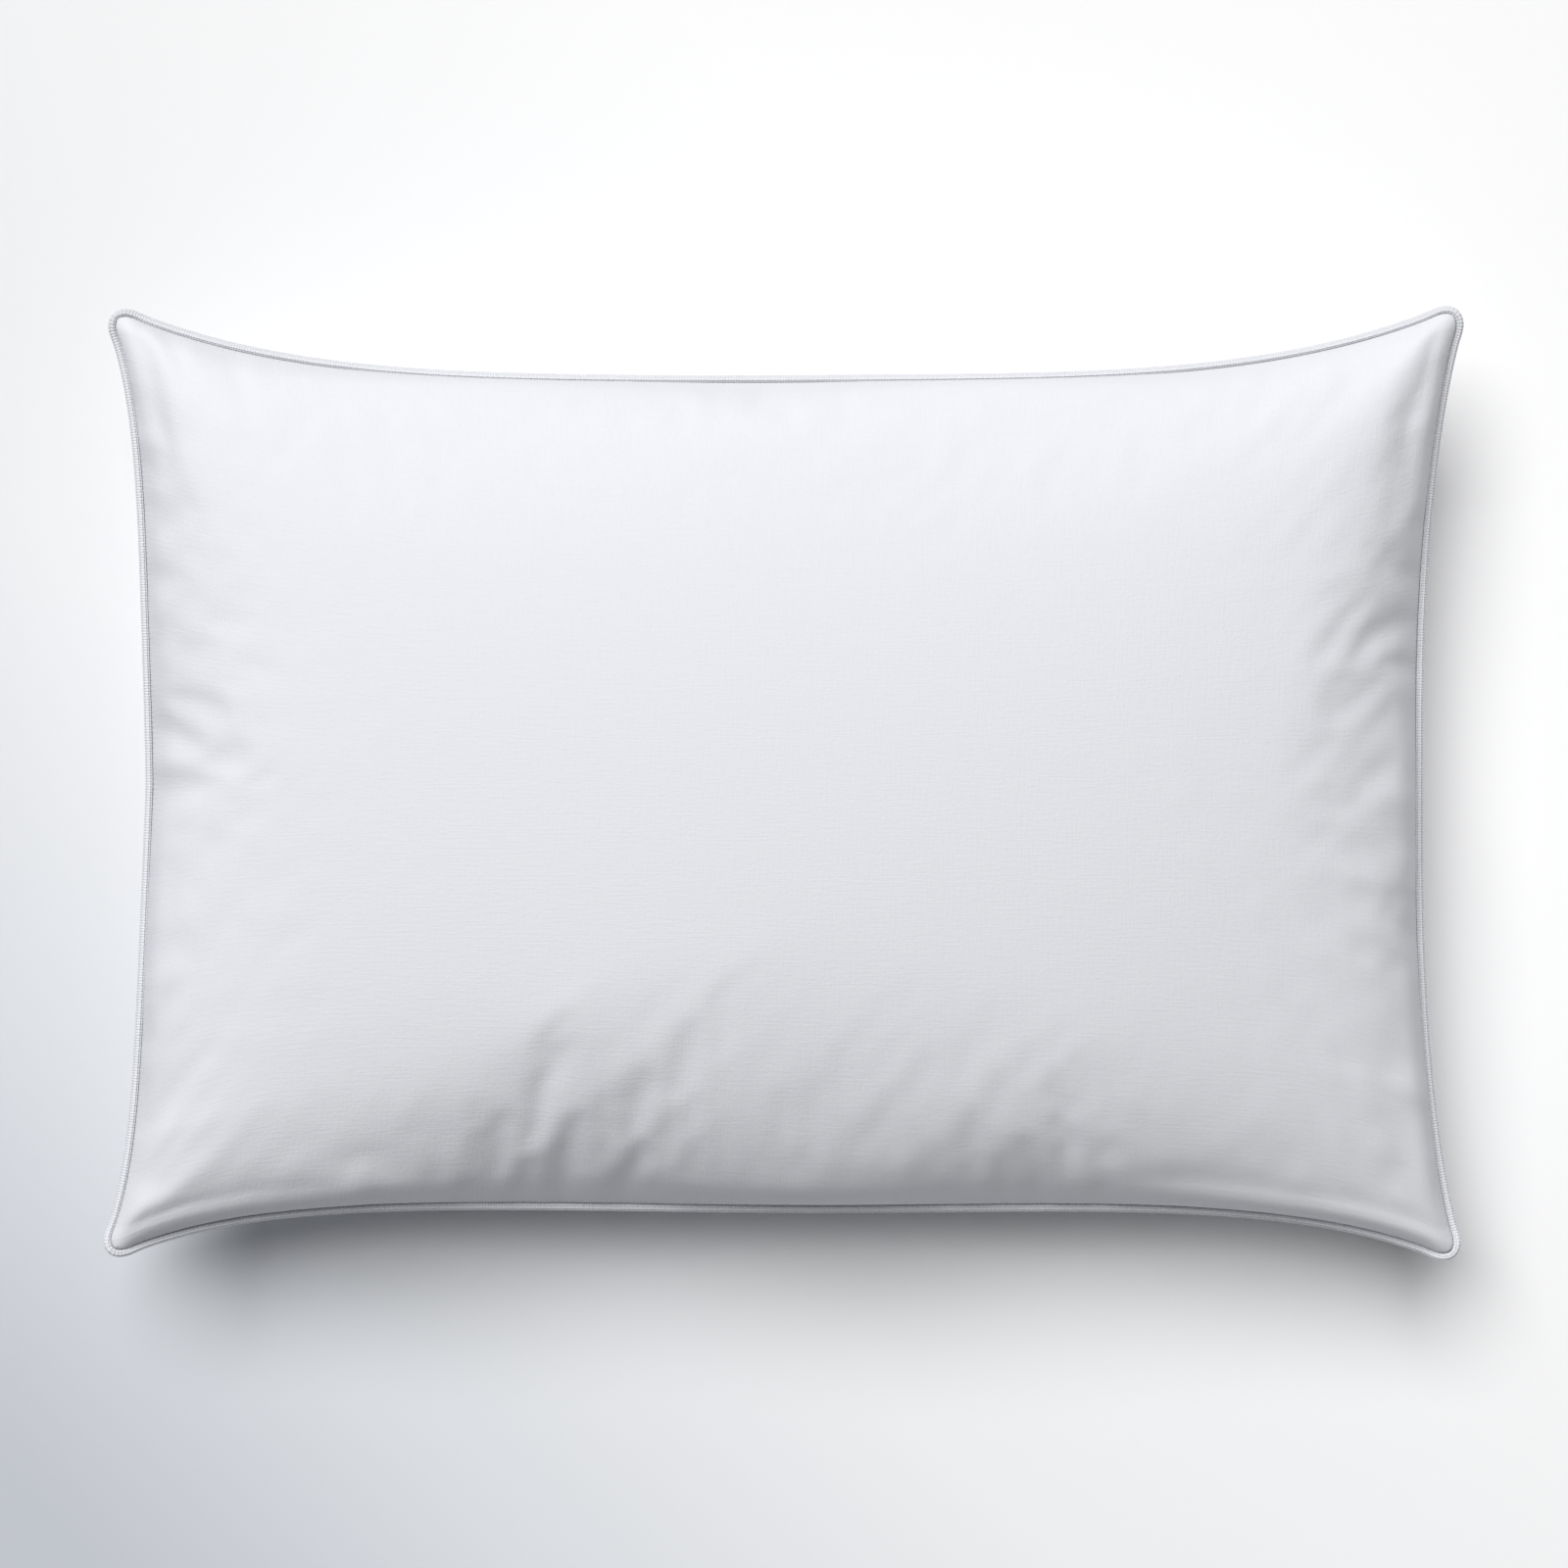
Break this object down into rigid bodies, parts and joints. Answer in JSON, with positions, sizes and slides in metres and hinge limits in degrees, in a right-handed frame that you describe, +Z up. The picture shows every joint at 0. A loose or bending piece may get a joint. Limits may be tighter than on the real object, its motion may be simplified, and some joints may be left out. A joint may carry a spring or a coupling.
{
  "type": "bed pillow",
  "caption": "Rectangular filled bed pillow: cotton ticking panels sewn together with a corded piping all round, crowned on top and pressed flat where it lies.",
  "frame": {"origin": "on the surface the pillow lies on, under the middle of the pillow", "axes": "+X along the pillow's length, +Y across it, +Z up out of the crowned top panel"},
  "size_m": [0.668, 0.468, 0.1833],
  "materials": {
    "ticking": "matt, close plain weave",
    "piping_cloth": "matt, woven on the bias",
    "filler_cord": "raw cotton cord",
    "thread": "spun sewing thread",
    "down": "loose down and small feathers",
    "label_satin": "woven satin tape"
  },
  "bodies": {
    "root": {"top_panel": "ticking", "bottom_panel": "ticking", "piping_cover": "piping_cloth", "piping_cord": "filler_cord", "seam_thread_top": "thread", "seam_thread_bottom": "thread", "overlock_thread": "thread", "closing_thread": "thread", "down_fill": "down", "care_label": "label_satin"}
  },
  "joints": []
}
